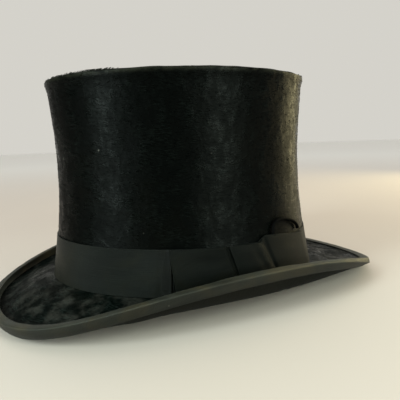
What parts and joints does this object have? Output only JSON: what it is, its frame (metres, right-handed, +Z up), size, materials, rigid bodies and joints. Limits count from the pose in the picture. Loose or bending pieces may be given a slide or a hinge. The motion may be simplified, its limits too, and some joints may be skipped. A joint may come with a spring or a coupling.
{
  "type": "top hat",
  "caption": "Tall black plush top hat with a waisted crown, curled bound brim, wide ribbon band and flat side bow, standing on its brim.",
  "frame": {"origin": "on the surface that the hat stands on, under the middle of the brim's outline", "axes": "+Z up along the crown, -Y towards the front of the hat, +X towards the wearer's left, where the bow is"},
  "size_m": [0.2086, 0.3036, 0.1549],
  "materials": {
    "silk_plush": "short brushed black silk pile with a soft sheen",
    "shellac_board": "shellac-stiffened cloth board, matt brown",
    "underbrim_cloth": "fine black merino cloth, matt",
    "binding_ribbon": "black corded ribbon, slightly worn",
    "band_ribbon": "fine ribbed black ribbon, matt",
    "black_cord": "black braided cord",
    "silk_lining": "cream satin",
    "sweatband_leather": "tan roan leather, satin",
    "tie_ribbon": "narrow black ribbon"
  },
  "bodies": {
    "root": {"crown_side_plush": "silk_plush", "crown_tip_plush": "silk_plush", "brim_top_plush": "silk_plush", "crown_side_shell": "shellac_board", "crown_tip_board": "shellac_board", "brim_board": "shellac_board", "brim_collar": "shellac_board", "underbrim_cloth": "underbrim_cloth", "brim_binding": "binding_ribbon", "hat_band": "band_ribbon", "bow_front_loop": "band_ribbon", "bow_rear_loop": "band_ribbon", "bow_knot": "band_ribbon", "guard_cord_loop": "black_cord", "side_lining": "silk_lining", "tip_lining": "silk_lining", "sweatband": "sweatband_leather", "sweatband_bead": "black_cord", "sweatband_tie": "tie_ribbon"}
  },
  "joints": []
}
